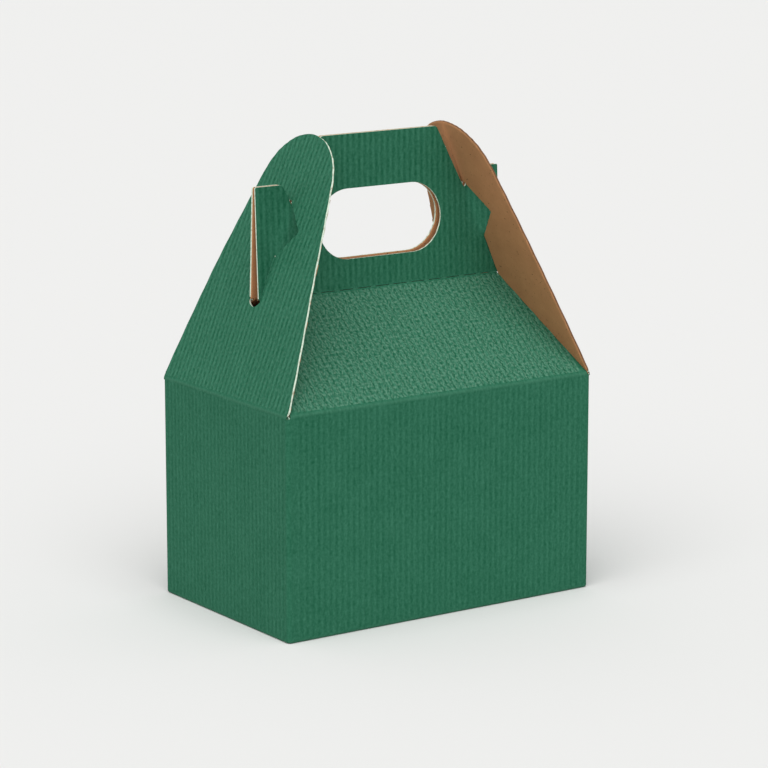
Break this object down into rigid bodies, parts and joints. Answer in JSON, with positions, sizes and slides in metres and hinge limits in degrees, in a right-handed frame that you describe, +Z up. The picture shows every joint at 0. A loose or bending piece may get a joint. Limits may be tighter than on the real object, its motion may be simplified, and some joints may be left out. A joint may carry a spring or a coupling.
{
  "type": "gable box",
  "caption": "Carry carton folded from ribbed corrugated board, with sloping roofs, a double handle with a hand hole, and slotted end flaps that hook over the handle's tabs.",
  "frame": {"origin": "middle of the underside", "axes": "+X along the handle, +Y to the back, +Z up"},
  "size_m": [0.203, 0.1274, 0.2645],
  "materials": {
    "green_board": "matte green ribbed board, brown inside"
  },
  "bodies": {
    "carton_body": {"carton": "green_board"},
    "right_flap": {"right_end_flap": "green_board"},
    "left_flap": {"left_end_flap": "green_board"}
  },
  "joints": [
    {"name": "right_flap_fold", "type": "hinge", "parent": "carton_body", "child": "right_flap", "pos_m": [0.1015, 0, 0.1244], "axis": [0, 1, 0], "range_deg": [0, 160]},
    {"name": "left_flap_fold", "type": "hinge", "parent": "carton_body", "child": "left_flap", "pos_m": [-0.1015, 0, 0.1244], "axis": [0, -1, 0], "range_deg": [0, 160]}
  ]
}
